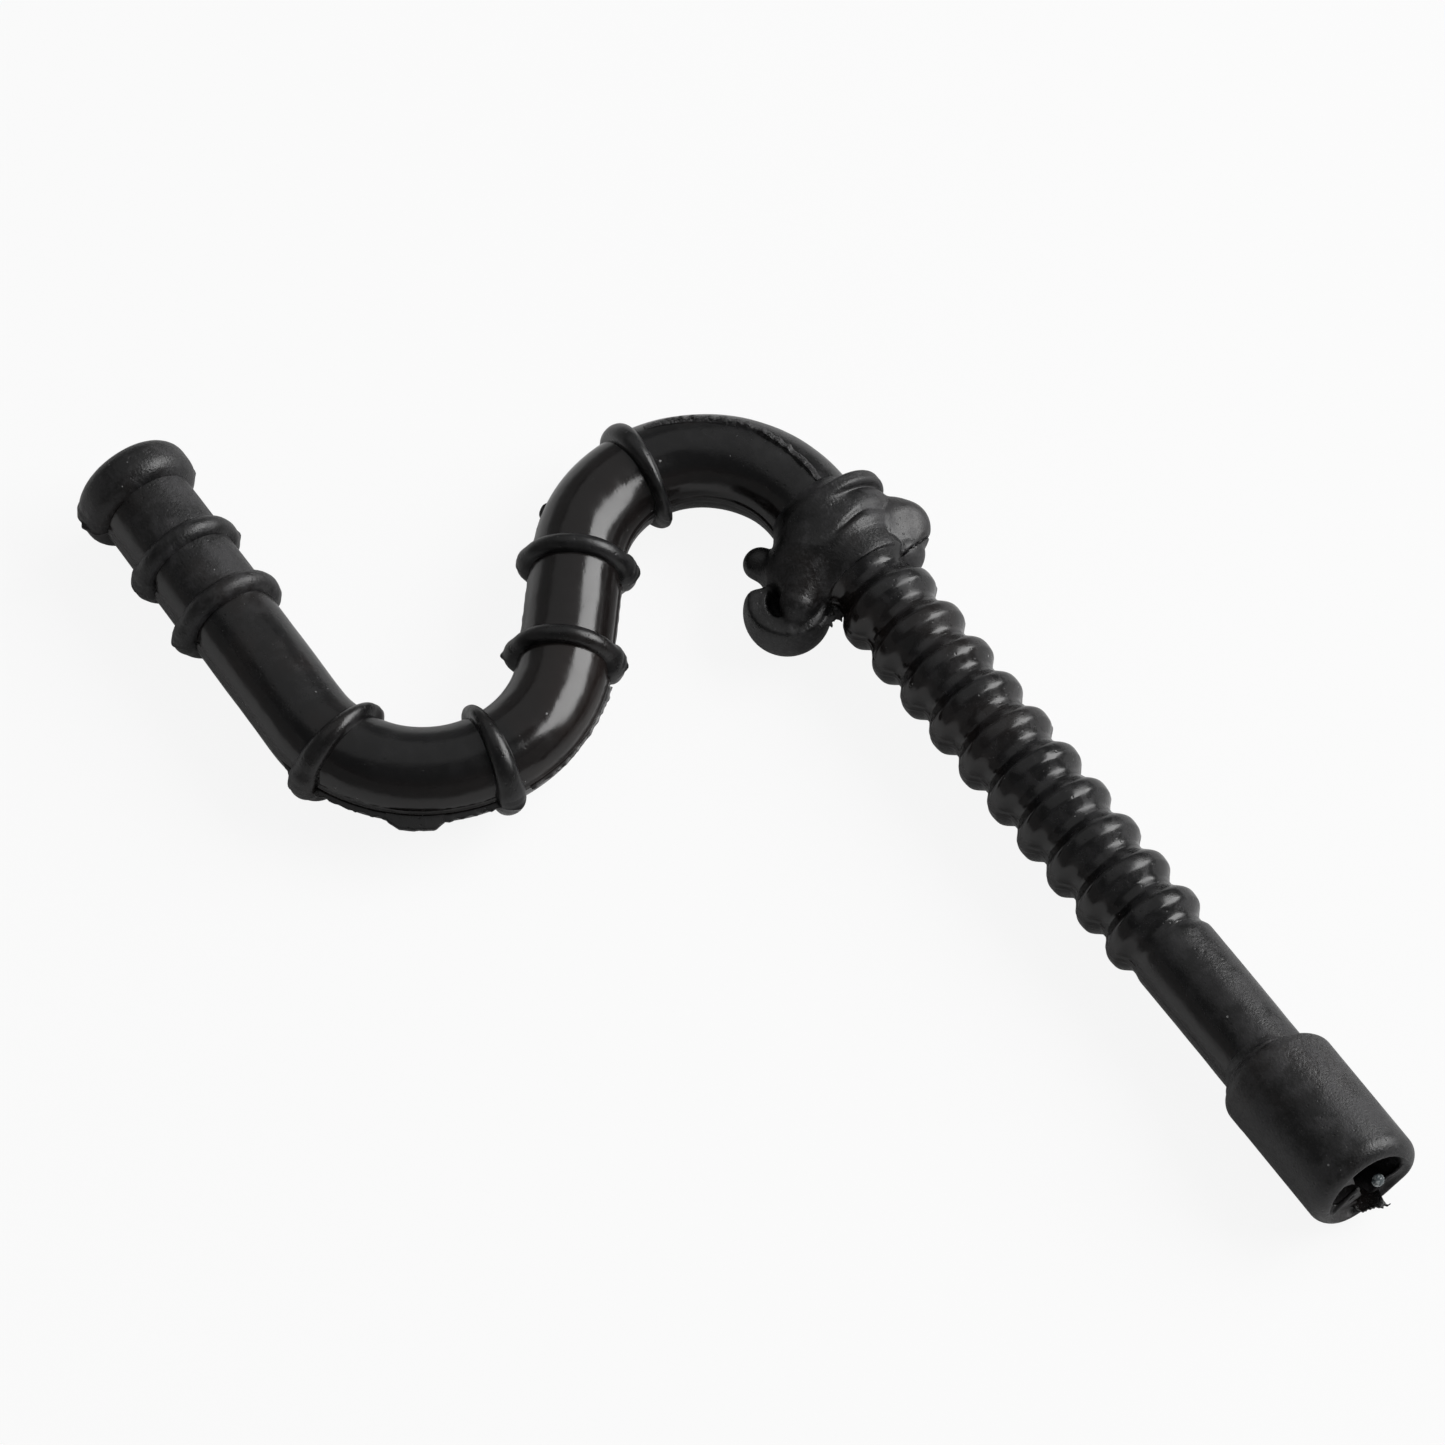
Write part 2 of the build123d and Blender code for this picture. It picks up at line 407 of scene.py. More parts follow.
def net_surface(name, field, low, high, cell, bloom_and_painted_light_at=None, polish=0.3):
    """The zero surface of a field of distances, as a closed mesh of quads. Each cell
    that the surface crosses has one point, the mean of the crossings on its edges."""
    low, high = np.array(low, float), np.array(high, float)
    axes = [np.arange(low[k], high[k] + cell, cell) for k in range(3)]
    grid = np.stack(np.meshgrid(*axes, indexing="ij"), -1)
    depth = field(grid)
    size = np.array(depth.shape) - 1
    total, count = np.zeros(tuple(size) + (3,)), np.zeros(tuple(size))
    edges = []
    for axis in range(3):
        near = np.take(depth, range(size[axis]), axis)
        far = np.take(depth, range(1, size[axis] + 1), axis)
        cross = (near < 0) != (far < 0)
        share = np.where(cross, near / np.where(cross, near - far, 1.0), 0.0)
        spot = np.stack(np.meshgrid(*[np.arange(n, dtype=float) for n in cross.shape],
                                    indexing="ij"), -1)
        spot[..., axis] += share
        others = [k for k in range(3) if k != axis]
        for corner in product((0, 1), repeat=2):
            cut = [slice(None)] * 3
            for other, off in zip(others, corner):
                cut[other] = slice(off, size[other] + off)
            here = cross[tuple(cut)]
            total += np.where(here[..., None], spot[tuple(cut)], 0.0)
            count += here
        edges.append((axis, others, cross, near < 0))
    used = count > 0
    index = np.full(used.shape, -1)
    index[used] = np.arange(used.sum())
    points = low + total[used] / count[used][:, None] * cell
    faces = []
    for axis, others, cross, inside in edges:
        spots = np.argwhere(cross)
        keep = np.all([(spots[:, k] > 0) & (spots[:, k] < size[k]) for k in others], axis=0)
        spots = spots[keep]
        around = []
        for corner in ((1, 1), (0, 1), (0, 0), (1, 0)):
            cell_at = spots.copy()
            cell_at[:, others] -= corner
            around.append(index[tuple(cell_at.T)])
        quads = np.stack(around, 1)
        inward = inside[tuple(spots.T)] == (axis == 1)
        quads[inward] = quads[inward][:, ::-1]
        faces.append(quads)
    nudge, passes = cell * 0.4, 2

    def slope(at):
        parts = [field(at + nudge * unit) - field(at - nudge * unit) for unit in np.eye(3)]
        steep = np.stack(parts, -1) / (2 * nudge)
        return steep, np.maximum(np.linalg.norm(steep, axis=-1, keepdims=True), 1e-6)

    for _ in range(passes):
        steep, length = slope(points)
        move = field(points)[:, None] * steep / length ** 2
        points = points - np.clip(move, -cell / 2, cell / 2)
    steep, length = slope(points)
    return new_mesh(name, points, np.concatenate(faces).tolist(), steep / length, polish,
                    bloom_and_painted_light_at(points) if bloom_and_painted_light_at else 0.0)


def melt(first, second, size):
    """Two fields joined with a soft fillet of about that size."""
    share = np.clip(0.5 + 0.5 * (second - first) / size, 0, 1)
    return second + (first - second) * share - size * share * (1 - share)


def scoop(first, second, size):
    """The first field with the second one hollowed out of it, the rim softened."""
    return -melt(-first, second, size)


def meet(first, second, size):
    """Where two fields overlap, the edge between them softened."""
    return -melt(-first, -second, size)


def rod(at, start, end, start_radius, end_radius):
    """Field of a rounded rod whose thickness changes from end to end."""
    start, end = np.array(start, float), np.array(end, float)
    run = end - start
    share = np.clip(((at - start) @ run) / (run @ run), 0, 1)
    away = np.linalg.norm(at - start - share[..., None] * run, axis=-1)
    return away - start_radius - (end_radius - start_radius) * share


def ball(at, centre, radii):
    """Field of an egg-shaped lump."""
    radii = np.array(radii, float)
    scaled = np.linalg.norm((at - centre) / radii, axis=-1)
    steep = np.linalg.norm((at - centre) / radii ** 2, axis=-1)
    return scaled * (scaled - 1) / np.maximum(steep, 1e-6)


def disc(at, start, end, centre, radius, rounding):
    """Field of a disc across the tank leg, its rims rounded. Its centre is (y, z)."""
    out = np.hypot(at[..., 1] - centre[0], at[..., 2] - centre[1]) - radius + rounding
    off = np.abs(at[..., 0] - (start + end) / 2) - abs(end - start) / 2 + rounding
    return (np.minimum(np.maximum(out, off), 0) - rounding
            + np.hypot(np.maximum(out, 0), np.maximum(off, 0)))


# ---- shader helpers ----

class Value:
    """A shader socket that can be used in a sum: each step adds a Math node."""

    def __init__(self, paint, socket):
        self.paint, self.socket = paint, socket

    def math(self, operation, *values, clamp=False):
        return self.paint.add("ShaderNodeMath", {"operation": operation, "use_clamp": clamp},
                              dict(enumerate(values)))

    def __add__(self, other):
        return self.math("ADD", self, other)

    def __radd__(self, other):
        return self.math("ADD", other, self)

    def __sub__(self, other):
        return self.math("SUBTRACT", self, other)

    def __rsub__(self, other):
        return self.math("SUBTRACT", other, self)

    def __mul__(self, other):
        return self.math("MULTIPLY", self, other)

    def clamped(self):
        return self.math("ADD", self, 0.0, clamp=True)


class Paint:
    """A material and its node tree."""

    def __init__(self, name):
        self.material = bpy.data.materials.new(name)
        self.material.use_nodes = True
        self.tree = self.material.node_tree
        self.tree.nodes.clear()

    def add(self, kind, settings=None, inputs=None, output=0):
        """One node: its settings first, then the values or links of its sockets."""
        node = self.tree.nodes.new(kind)
        for key, value in (settings or {}).items():
            setattr(node, key, value)
        for key, value in (inputs or {}).items():
            if isinstance(value, Value):
                self.tree.links.new(value.socket, node.inputs[key])
            else:
                node.inputs[key].default_value = value
        return Value(self, node.outputs[output]) if node.outputs else node

    def attribute(self, name, output="Fac"):
        return self.add("ShaderNodeAttribute", {"attribute_name": name}, output=output)

    def rest_place(self):
        """Where a point of the skin is at rest, in millimetres."""
        return self.attribute("rest_place", "Vector")

    def stretched(self, place, scale):
        return self.add("ShaderNodeVectorMath", {"operation": "MULTIPLY"},
                        {0: place, 1: scale})

    def noise(self, place, size, detail=2.0, rough=0.5, twist=0.0):
        """Noise from 0 to 1 whose blotches are about as far apart as size."""
        return self.add("ShaderNodeTexNoise", None,
                        {"Vector": place, "Scale": 1 / size, "Detail": detail,
                         "Roughness": rough, "Distortion": twist}, output="Fac")

    def spots(self, place, size):
        """Distance to the nearest of many scattered spots, in units of size."""
        return self.add("ShaderNodeTexVoronoi", {"feature": "F1"},
                        {"Vector": place, "Scale": 1 / size, "Randomness": 1.0},
                        output="Distance")

    def step(self, value, low, high):
        """0 below low, 1 above high, and eased between."""
        return self.add("ShaderNodeMapRange", {"interpolation_type": "SMOOTHSTEP"},
                        {"Value": value, "From Min": low, "From Max": high})

    def mix(self, share, first, second):
        """One colour over another by a share from 0 to 1."""
        return self.add("ShaderNodeMix", {"data_type": "RGBA", "blend_type": "MIX"},
                        {0: share, 6: opaque(first), 7: opaque(second)}, output=2)

    def principled(self, **inputs):
        """A surface whose sockets are named with _ for each space."""
        sockets = {name.replace("_", " "): value for name, value in inputs.items()}
        return self.finish(self.add("ShaderNodeBsdfPrincipled", None, sockets, "BSDF"))

    def finish(self, surface):
        self.add("ShaderNodeOutputMaterial", None, {"Surface": surface})
        return self.material


def opaque(colour):
    return (*colour[:3], 1.0) if not isinstance(colour, Value) else colour


def rubber(name, finish, bloom_share, blotch, dull, glossy, tooth, lay):
    """A moulded rubber: blotched bloom, warm patches, pits, pimples and pale specks, which
    are partly dust and partly painted highlight on the pimples. The bloom also carries
    each piece's painted light and painted shade, and thins where the skin is polished.
    Blotch is how far apart its patches are, and lay is how its fine grain is drawn out."""
    # How far apart things are in the rubber, in millimetres.
    mottle_size, flake_size, warm_size, speck_gap = 1.1, 0.7, 9.0, 1.5
    pit_gap, grain_size, lump_size = 0.8, 0.30, 1.9
    paint = Paint(name)
    place = paint.rest_place()
    polish = paint.attribute("polish")
    cloud = paint.noise(place, blotch, detail=3.0, rough=0.6, twist=0.6)
    mottle = paint.noise(place, mottle_size, detail=4.0, rough=0.65)
    haze_and_painted_light = paint.step(cloud * 0.6 + mottle * 0.4, 0.42, 0.62) * bloom_share
    # The extra share raises or lowers the bloom: on some pieces as real bloom, on others as
    # painted light and painted shade. The bloom also thins where the skin is polished, which
    # darkens the polished side away from the lamp as painted shade.
    painted_light_and_bloom = paint.attribute("extra_bloom")
    flakes = paint.noise(place, flake_size, detail=4.0, rough=0.7, twist=1.5)
    haze_and_painted_light = haze_and_painted_light * (1.15 - polish) + painted_light_and_bloom * paint.step(flakes, 0.40, 0.62)
    warm = paint.step(paint.noise(place, warm_size), 0.50, 0.68) * 0.4
    warm = (warm + paint.step(polish, 0.8, 1.0) * 0.35).clamped()
    # Pale specks: partly dust, partly painted highlight on the small pimples that the bump
    # raises.
    speck_far = paint.spots(place, speck_gap)
    speck_size = paint.noise(place, 1.3)
    speck = 1 - paint.step(speck_far - paint.step(speck_size, 0.52, 0.72) * 0.07, 0.0, 0.04)
    colour = paint.mix(warm, finish.rubber, finish.brown)
    colour = paint.mix(haze_and_painted_light, colour, finish.bloom_and_painted_light)
    colour = paint.mix(speck * 0.6, colour, finish.dust_and_glint)
    rough = dull + polish * (glossy - dull) + haze_and_painted_light * 0.2 + mottle * 0.08 + speck * 0.2
    rough = rough + (cloud - 0.5) * 0.25
    pits = paint.step(paint.spots(place, pit_gap), 0.05, 0.22)
    skin = paint.noise(paint.stretched(place, lay), grain_size, detail=3.0, rough=0.6)
    lumps = paint.noise(place, lump_size, detail=1.0)
    height = (skin * tooth + pits * 0.03) * (1.2 - polish) + lumps * 0.04 + speck * 0.02
    height = height + painted_light_and_bloom.clamped() * flakes * 0.25
    bump = paint.add("ShaderNodeBump", None,
                     {"Strength": 1.0, "Distance": MM, "Height": height}, "Normal")
    return paint.principled(Base_Color=colour, Roughness=rough, Normal=bump,
                            Specular_IOR_Level=0.5)


# ---- shared by the operators ----

class Hose:
    """What the operators share: the route, the radii and the measures of the bellows."""

    def __init__(self, scene):
        self.shape = scene.hose_shape
        self.route = Route(self.shape)
        mounts = {mount["name"]: mount for mount in frame["record"]["mounts"]}
        self.bore = mounts["carburettor_socket"]["dims"]["r_mm"]
        self.socket = mounts["pickup_socket"]["dims"]["r_mm"]
        self.waviness = self.shape.waviness / MM
        self.tail = radius_of("tail_tube")
        self.ridge = radius_of("bellows_ring_01")
        self.floor = self.ridge - self.shape.groove_depth / MM
        self.first_ring, second = (middle(f"bellows_{ring}")[0] for ring in RINGS[:2])
        self.pitch = second - self.first_ring

    def wavy(self, place, side, radius, share=1.0):
        """A radius that strays a little from round."""
        points = self.route.polar(place, side, radius)
        stray = grain(points, 6.0) * 0.7 + grain(points, 2.4, 7.3) * 0.35
        return radius + self.waviness * share * stray

    def seam(self, place, side, height=0.10):
        """The low rib of rubber that the mould leaves along its parting line, and the
        small step where its two halves don't meet exactly."""
        rib_width, step_height = radians(2.2), 0.09
        points = self.route.polar(place, side, 5.0)
        ragged = np.clip(0.55 + grain(points, 1.1, 3.1), 0.05, 1.3)
        near = np.minimum(away_from(side, 0), away_from(side, pi))
        step = eased(np.degrees(side), [(166, 0), (172, -0.5), (174, 1), (200, 1), (240, 0)])
        return height * ragged * np.exp(-near / rib_width) + step_height * step

    def fine_skin(self, place, side, radius):
        """The skin of the bellows and the tail, which is rounder and has a lower seam."""
        return self.wavy(place, side, radius, 0.8) + self.seam(place, side, 0.12)


def material(name):
    """One of the record's rubbers, made the first time that it is asked for."""
    if name + "_finish" not in bpy.data.materials:
        finish = bpy.context.scene.rubber_finish
        # Share of bloom, size of its blotches, roughness where matte and where polished,
        # grain height and lay.
        looks = {
            "rubber_bloomed": (0.8, 3.6, 0.42, 0.16, 0.06, (1, 1, 1)),
            "rubber_skin": (0.35, 5.0, 0.32, 0.13, 0.03, (1, 1, 1)),
            "rubber_bellows": (0.6, 2.3, 0.30, 0.12, 0.012, (2.2, 0.5, 0.5)),
        }
        rubber(name + "_finish", finish, *looks[name])
    return bpy.data.materials[name + "_finish"]


def dress(piece, slot_name, body, *nodes):
    """Give a piece its rubber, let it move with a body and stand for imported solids."""
    piece.data.materials.append(material(slot_name))
    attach(piece, body)
    if nodes:
        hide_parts(*nodes)
    return piece


def spread(first, last, step):
    """Even stations from the first to the last, about a step apart."""
    return np.linspace(first, last, max(2, int(round((last - first) / step)) + 1))


# ---- the grommet and the cuff as fields of distances ----

def grommet_field(at, bore):
    """The grommet: a core with its two flanges, the ear and the two cups. Places are
    (x, y, z) from the seat in the tank's wall."""
    x, y, z = at[..., 0], at[..., 1], at[..., 2]
    out, side = np.hypot(y, z), np.degrees(np.abs(np.arctan2(z, y)))
    rise = [(-5.0, 4.7), (-3.7, 4.85), (-2.9, 5.4), (-2.3, 5.8), (-1.4, 5.95),
            (0.0, 5.8), (1.0, 5.85), (2.0, 5.95), (2.8, 5.92)]
    # The inner flange runs on over the fixed ring, but not on the left.
    over = curve(x, rise + [(3.2, 5.75), (3.5, 5.55), (3.9, 5.48), (4.6, 5.45),
                            (5.4, 5.42), (6.0, 5.36), (6.3, 5.3)])
    short = curve(x, rise + [(3.3, 5.6), (3.8, 5.0), (4.2, 4.2), (6.3, 3.6)])
    share = eased(side, [(20, 0), (60, 1), (150, 1), (180, 0.75)])
    core = out - short - (over - short) * share
    # The slanting crease between the groove and the inner flange.
    crease = x - curve(side, [(0, -1.1), (20, -0.5), (50, 0.9), (90, 2.2), (130, 2.6)])
    core = core + 0.4 * np.exp(-(crease / 0.35) ** 2) * eased(side, [(85, 1), (125, 0)])
    core = np.maximum(core * 0.8, np.abs(x - 0.65) - 5.55)
    # The lip of the outer flange, and the swelling behind it on the left.
    lip = disc(at, -2.65, -1.05, (1.6, 0.7), 5.6, 0.5)
    bulge = np.hypot(y - 1.5, z - 0.4) - curve(
        x, [(-1.0, 4.8), (-0.5, 5.1), (0.3, 5.25), (1.4, 5.1), (2.6, 4.2)])
    bulge = np.maximum(bulge, np.abs(x - 0.7) - 1.9)
    # The ear on the right, and what joins it and the large cup to the core.
    ear = ball(at, (-1.9, -7.75, -0.6), (1.65, 1.75, 1.75))
    hip = ball(at, (0.8, -6.0, -0.4), (2.5, 3.0, 3.7))
    # The small cup on the left, with its flat face and its slot.
    small_cup = ball(at, (3.2, 4.4, 0.1), (3.6, 4.8, 3.8))
    facet = (x - 5.0) * 0.46 + (y - 4.4) * 0.28 + (z - 3.05) * 0.84
    small_cup = meet(small_cup, facet, 0.4)
    fan = ball(at, (1.8, 4.3, 0.2), (2.6, 3.8, 3.5))
    heel = ball(at, (5.9, 4.0, -0.2), (2.1, 2.9, 2.9))
    small_cup = melt(melt(small_cup, fan, 0.5), heel, 0.25)
    slot = np.abs(x - 5.5 - 0.2 * (7.8 - y) - 0.25 * z) - 0.07
    small_cup = scoop(small_cup, np.maximum(slot, 3.4 - y), 0.2)
    # The large cup on the right, cut off above and in front and hollowed out.
    cup = ball(at, (3.8, -8.3, -1.8), (4.5, 4.5, 4.5))
    cup = meet(cup, z - 0.4, 0.3)
    cup = meet(cup, 0.54 + 0.32 * (y + 11.07) - x, 0.1)
    cup = scoop(cup, ball(at, (4.0, -8.1, 1.5), (2.6, 2.55, 3.0)), 0.4)
    # The torn web between the large cup and the bellows, and the tongue into the cup.
    torn = 0.25 * np.sin(5 * y + 1) + 0.15 * np.sin(11 * y)
    web = np.maximum(np.abs(z + 0.1) - 0.16, np.abs(x - 7.8) - 0.5 - torn)
    web = np.maximum(web, np.abs(y + 5.8) - 1.4)
    tongue = rod(at, (1.8, -3.9, 1.4), (4.8, -7.7, 0.9), 3.5, 1.9)
    # Each form joins the rest with a fillet of its own.
    whole = core
    for form, fillet in ((lip, 0.3), (bulge, 0.3), (ear, 0.3), (small_cup, 0.3), (hip, 1.2),
                         (cup, 0.4), (tongue, 1.4), (web, 0.3)):
        whole = melt(whole, form, fillet)
    return np.maximum(whole, bore - out)


# The tear in the skin: (angle in degrees, reach) from its middle, y and then z.
TEAR = [(-70, 3.0), (-62, 3.1), (-45, 2.8), (-30, 2.5), (-5, 2.6), (12, 3.6), (22, 5.0),
        (115, 5.0), (128, 3.3), (150, 1.9), (190, 1.35), (207, 1.5), (215, 2.5),
        (235, 2.9), (270, 3.0), (290, 3.0)]
# How far the end stops short of its plane: (angle in degrees, distance).
SHORT = [(-180, 0.45), (-130, 0.35), (-80, 0.55), (-45, 0.45), (-10, 0.0), (30, 0.0),
         (70, 0.45), (180, 0.45)]


def cuff_field(at, hose, begin, end, radius):
    """The cuff, its mouth and the torn skin in it."""
    socket = hose.socket
    y, z = at[..., 1], at[..., 2]
    angle = np.degrees(np.arctan2(z, y))
    x = at[..., 0] - end + curve(angle, SHORT)
    out, side = np.hypot(y, z), np.abs(angle)
    start = begin - end
    nose, shoulder = 1.7, 1.5
    far, near = x + nose, start + shoulder + 0.4 - x
    far, near = np.maximum(far, 0) / nose, np.maximum(near, 0) / shoulder
    drop = nose * (1 - np.sqrt(np.clip(1 - far ** 2, 0.0, 1)))
    drop = drop + shoulder * (1 - np.sqrt(np.clip(1 - near ** 2, 0.0, 1)))
    body = (out - radius + drop) * 0.7
    body = np.maximum(body, np.maximum(x, start + 0.4 - x))
    stem = np.maximum(out - hose.tail + 0.04, np.abs(x - start) - 1.8)
    body = melt(body, stem, 0.25 + 1.8 * eased(side, [(60, 0), (100, 1)]))
    # Its socket, which flares at the end.
    flare = 0.5 * eased(x, [(-1.1, 0), (0.0, 1)])
    mouth = np.maximum(out - socket - 0.05 - flare, -12.0 - x)
    body = scoop(body, mouth, 0.35)
    # The slack skin across the socket, with its tear, its round pocket and a ridge.
    away = np.hypot(y - 0.6, z + 0.8)
    turn = (np.degrees(np.arctan2(z + 0.8, y - 0.6)) + 70) % 360 - 70
    slack = x + 0.75 + 0.1 * np.sin(1.3 * y + 0.8 * z) + 0.1 * (out - 3)
    skin = np.maximum(np.abs(slack) - 0.17, out - socket - 0.4)
    skin = scoop(skin, (away - curve(turn, TEAR)) * 0.6, 0.12)
    pocket = np.hypot((y + 2.55) / 1.35, (z - 0.25) / 1.75) - 1
    skin = scoop(skin, pocket, 0.12)
    ridge = rod(at, (end - 1.0, -0.95, 0.1), (end - 1.05, -3.7, -1.8), 0.2, 0.3)
    skin = melt(skin, ridge, 0.3)
    body = np.maximum(body, np.minimum(hose.bore - out, -3.0 - x))
    return melt(body, skin, 0.3)


def flap_field(at, end):
    """The thin flap that hangs over the cuff's rim, with its spike and its hook."""
    x, y, z = at[..., 0] - end, at[..., 1], at[..., 2]
    reach = curve(y, [(-1.5, -1.4), (-1.1, -0.75), (-0.7, -0.15), (-0.1, 0.12), (0.3, 0.18),
                      (0.8, 0.55), (1.2, 0.65), (1.5, 0.35), (1.7, -0.1), (2.0, -1.1)])
    reach = reach + 0.07 * np.sin(y * 7) + 0.05 * np.sin(y * 17 + 1)
    level = -3.6 - 0.5 * eased(x, [(-2.2, 1), (-0.8, 0)]) + 0.12 * np.sin(2.1 * x + y)
    sheet = np.maximum((np.abs(z - level) - 0.15) * 0.9, (x - reach) * 0.6)
    sheet = np.maximum(sheet, np.maximum(-2.2 - x, np.abs(y - 0.3) - 1.75))
    spike = rod(at, (end + 0.1, 1.4, -3.6), (end + 0.75, 1.6, -3.6), 0.3, 0.08)
    hook = rod(at, (end + 0.75, 1.6, -3.6), (end + 0.8, 1.95, -3.5), 0.08, 0.07)
    return melt(melt(sheet, spike, 0.2), hook, 0.1)


# ---- operators ----

class HOSE_OT_mouth(bpy.types.Operator):
    """Build the rolled collar at the mouth and its bore"""
    bl_idname = "hose.mouth"
    bl_label = "Mouth Collar"

    def execute(self, context):
        hose = Hose(context.scene)
        low, high = corners("mouth_collar")
        radius, length = high[2], high[0] - low[0]
        fat, lip, tuck, rim = 1.9, 0.5, 0.6, 1.5
        profile = arc((lip, hose.bore + lip), lip, 180, 270, 5)[::-1]
        profile += arc((fat, radius - fat), fat, 180, 90)
        profile += arc((length - fat, radius - fat), fat, 90, -10)
        profile += [(length + tuck, hose.bore + 1.0), (length + tuck, hose.bore)]

        def ruffle(place, side, r):
            rough = hose.wavy(place, side, r) - r + hose.seam(place, side, 0.3)
            return np.where(r > radius - rim, rough, 0)

        piece = turned_skin("mouth_collar_skin", hose.route, profile, ruffle)
        dress(piece, "rubber_bloomed", HOSE_BODY, "mouth_collar")
        return {"FINISHED"}


class HOSE_OT_tubes(bpy.types.Operator):
    """Build the skins of the neck, the mouth leg, the two bends and the crossover"""
    bl_idname = "hose.tubes"
    bl_label = "Tube Skins"

    def execute(self, context):
        hose = Hose(context.scene)
        route = hose.route
        neck, leg, bend = (
            radius_of(node) for node in ("neck_tube", "mouth_leg_tube", "lower_bend_tube"))
        low, high = corners("mouth_collar")
        collar_end = high[0] - low[0]
        neck_end = route.station_of("neck_rib_2")
        lower_rib = route.station_of("lower_bend_rib_1")
        cross_start = route.station_of("crossover_rib_1")
        cross_end = route.station_of("crossover_rib_2")
        grommet = route.on_leg(corners("grommet_inner_flange")[0][0] - 3.2)

        def radius_at(place, side):
            base = eased(place, [(collar_end, neck), (neck_end - 1, neck), (neck_end + 1, leg),
                                 (route.lower_bend_start - 3, leg), (lower_rib, bend)])
            return hose.wavy(place, side, base) + hose.seam(place, side)

        runs = [
            ("neck_skin", collar_end - 1.0, neck_end, "rubber_bloomed", "neck_tube"),
            ("mouth_leg_skin", neck_end, lower_rib, "rubber_skin", "mouth_leg_tube"),
            ("lower_bend_skin", lower_rib, cross_start, "rubber_skin", "lower_bend_tube"),
            ("crossover_skin", cross_start, cross_end, "rubber_skin", "crossover_tube"),
            ("arch_skin", cross_end, grommet, "rubber_skin", "arch_tube"),
        ]
        for name, first, last, finish, node in runs:
            piece = tube_skin(name, route, spread(first, last, 0.35), radius_at, hose.bore)
            dress(piece, finish, HOSE_BODY, node)
        return {"FINISHED"}


class HOSE_OT_ribs(bpy.types.Operator):
    """Build the raised ribs, with the lumps that they have at the parting line"""
    bl_idname = "hose.ribs"
    bl_label = "Ribs"

    def execute(self, context):
        hose = Hose(context.scene)
        route = hose.route
        # Rib, half width, slant, rubber, then the width and the height of its lumps on
        # side 0 and on the side across from it.
        ribs = [
            ("neck_rib_1", 1.2, 0.0, "rubber_bloomed", (0.45, 0.10), (0.55, 0.20)),
            ("neck_rib_2", 1.2, 0.0, "rubber_bloomed", (0.45, 0.15), (0.20, 0.35)),
            ("lower_bend_rib_1", 1.0, 0.65, "rubber_skin", (0.55, 0.20), (0.20, 0.45)),
            ("lower_bend_rib_2", 1.0, 0.35, "rubber_skin", (0.30, 0.20), (0.15, 0.20)),
            ("crossover_rib_1", 1.0, 0.0, "rubber_skin", (0.15, 0.35), (0.75, 0.30)),
            ("crossover_rib_2", 1.0, 0.0, "rubber_skin", (0.20, 0.30), (0.75, 0.30)),
            ("arch_rib_1", 1.0, 0.0, "rubber_skin", (0.10, 0.05), (0.35, 0.25)),
        ]
        top, lump_width = radius_of("crossover_rib_1"), radians(19)
        for node, half_width, slant, finish, near, far in ribs:
            centre = route.station_of(node)
            turn = np.linspace(0, 2 * pi, 36, endpoint=False)
            around, side = np.meshgrid(turn, SIDES, indexing="ij")
            lumps = [np.exp(-(away_from(side, line) / lump_width) ** 4) for line in (0, pi)]
            wide = near[0] * lumps[0] + far[0] * lumps[1]
            tall = near[1] * lumps[0] + far[1] * lumps[1]
            stray = grain(route.polar(centre, side, 5.5), 3.0, centre)
            foot = np.clip(-np.sin(around) + 0.15, 0, 1) ** 2
            out = np.clip(np.sin(around), 0, 1)
            middle_radius = top - half_width + 0.05 * stray
            place = centre + slant * (np.cos(side) + 0.1) - np.cos(around) * half_width * (
                1 + wide + 0.6 * foot)
            radius = middle_radius + np.sin(around) * half_width + out ** 0.7 * tall
            radius = radius + out ** 3 * hose.seam(place, side, 0.35)
            piece = new_mesh(node + "_skin", route.polar(place, side, radius),
                             grid_faces(len(turn), len(SIDES)))
            dress(piece, finish, HOSE_BODY, node)
        return {"FINISHED"}


